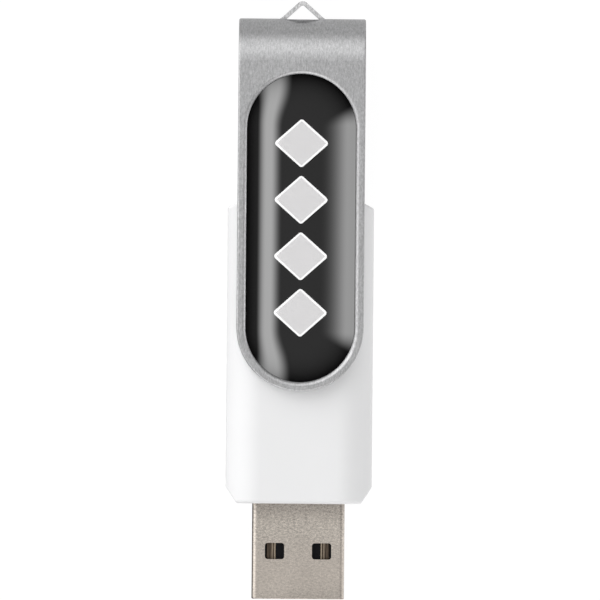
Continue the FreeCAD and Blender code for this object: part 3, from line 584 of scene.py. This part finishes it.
def dome_mesh(low, high):
    """A slot-shaped drop: its height falls with a power of the distance from its middle line."""
    side_share, roundness = 0.1, 3.2
    rings_up, cap_steps = 40, 48
    radius = high.x
    y0, y1 = low.y + radius, high.y - radius
    side = side_share * (high.z - low.z)
    rise = high.z - low.z - side

    mesh = bmesh.new()
    foot = slot_ring(mesh, radius, y0, y1, low.z, cap_steps)
    mesh.faces.new(list(reversed(foot)))
    previous = foot
    for i in range(rings_up):
        share = math.cos(math.pi / 2 * i / rings_up)
        z = low.z + side + rise * (1 - share ** roundness)
        ring = slot_ring(mesh, radius * share, y0, y1, z, cap_steps)
        bridge(mesh, previous, ring)
        previous = ring
    close_on_ridge(mesh, previous, [mesh.verts.new((0, y, high.z)) for y in (y1, y0)])
    return mesh


def resin_dome():
    """Stands for the CAD model's dome, in the same box."""
    mesh = dome_mesh(*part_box("label_dome"))
    data = bpy.data.meshes.new("resin_dome")
    mesh.to_mesh(data)
    mesh.free()
    dome = bpy.data.objects.new("resin_dome", data)
    bpy.context.scene.collection.objects.link(dome)
    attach(dome, "clip")
    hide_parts("label_dome")
    return dome


# --- Floor, light and camera --------------------------------------------------------------------
def floor():
    """A pale floor just under the drive, bright enough to hold only faint shadows."""
    half = 1.0
    gap = 0.05 * MM
    corners = [(-half, -half, 0), (half, -half, 0), (half, half, 0), (-half, half, 0)]
    data = bpy.data.meshes.new("floor")
    data.from_pydata(corners, [], [range(4)])
    plane = bpy.data.objects.new("floor", data)
    plane.location.z = -gap
    bpy.context.scene.collection.objects.link(plane)
    dress(plane, pale_floor)


def pale_floor(nodes):
    """Mostly even light, plus a little shading.

    Mirrors see something else: dark to the left of the plug, bright to its right, grey by the bend.
    """
    in_mirror = nodes.add("LightPath", output="Is Glossy Ray")
    x, y = nodes.axis(nodes.place(), 0), nodes.axis(nodes.place(), 1)
    beside_plug = nodes.scaled(nodes.smooth_step(x, -9, 9), 0.05, 0.95)
    mirrored = nodes.blend(nodes.smooth_step(y, 10, 30), beside_plug, 0.5)
    seen_directly = 0.92
    strength = nodes.blend(in_mirror, seen_directly, mirrored)
    glow = nodes.add("Emission", {"Color": opaque(WHITE), "Strength": strength})
    shaded = nodes.add("BsdfDiffuse", {"Color": opaque((0.13, 0.13, 0.13))})
    return nodes.add("AddShader", {0: glow, 1: shaded})


def toward(azimuth, zenith_angle):
    """A unit vector; azimuth is counted from +X towards +Y, both angles are in degrees."""
    a, z = math.radians(azimuth), math.radians(zenith_angle)
    return Vector((math.cos(a) * math.sin(z), math.sin(a) * math.sin(z), math.cos(z)))


def studio_sky():
    """A tent of even light with soft lobes. Mirrors see other lobes, and the camera plain white."""
    world = bpy.data.worlds.new("studio")
    world.use_nodes = True
    bpy.context.scene.world = world
    nodes = Nodes(world.node_tree)
    lit = sky(nodes, 0.175, [
        (toward(290, 43), 6, 2.35),
        (toward(136, 80), 6, 3.9),
        (toward(100, 50), 8, 0.9),
    ])
    mirrored = sky(nodes, 0.42, [
        (toward(90, 35), 8, 0.55),
        (toward(148, 58), 5, 1.8),
        (toward(230, 75), 2, 0.8),
        (toward(270, 65), 6, 0.8),
        (toward(0, 82), 6, 0.7),
    ])
    in_mirror = nodes.add("LightPath", output="Is Glossy Ray")
    seen = nodes.add("LightPath", output="Is Camera Ray")
    light = nodes.blend(seen, nodes.blend(in_mirror, lit, mirrored), 1.0)
    shining = nodes.add("Background", {"Color": opaque(WHITE), "Strength": light})
    nodes.add("OutputWorld", {"Surface": shining})


def sky(nodes, even, lobes):
    """The light from each direction: an even part, and lobes of (centre, sharpness, strength)."""
    direction = nodes.add("TexCoord", output="Generated")
    light = even
    for centre, sharpness, strength in lobes:
        facing = nodes.math("MAXIMUM", nodes.vector("DOT_PRODUCT", direction, centre, output="Value"), 0.0)
        lobe = nodes.math("MULTIPLY", nodes.math("POWER", facing, sharpness), strength)
        light = nodes.math("ADD", light, lobe)
    return light


def camera():
    """Straight above the drive, with a long lens that the whole drive just fills."""
    low, high = cad_box
    distance = 1.0
    middle_y, middle_z = (low.y + high.y) / 2, (low.z + high.z) / 2
    margin, aside, roll = 1.0046, -0.03 * MM, math.radians(0.5)
    width = (high.y - low.y) * margin
    lens = bpy.data.cameras.new("camera")
    lens.sensor_width = 36
    lens.lens = lens.sensor_width * distance / width
    lens.clip_start, lens.clip_end = 0.01, 5.0
    eye = bpy.data.objects.new("camera", lens)
    eye.location = (aside, middle_y, middle_z + distance)
    eye.rotation_euler = (0, 0, roll)
    bpy.context.scene.collection.objects.link(eye)
    bpy.context.scene.camera = eye


for node_name, look in LOOKS.items():
    dress(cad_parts[node_name], look)
dome = resin_dome()
dress(dome, clear_resin)
floor()
studio_sky()
camera()
bpy.context.scene.view_settings.view_transform = "Standard"
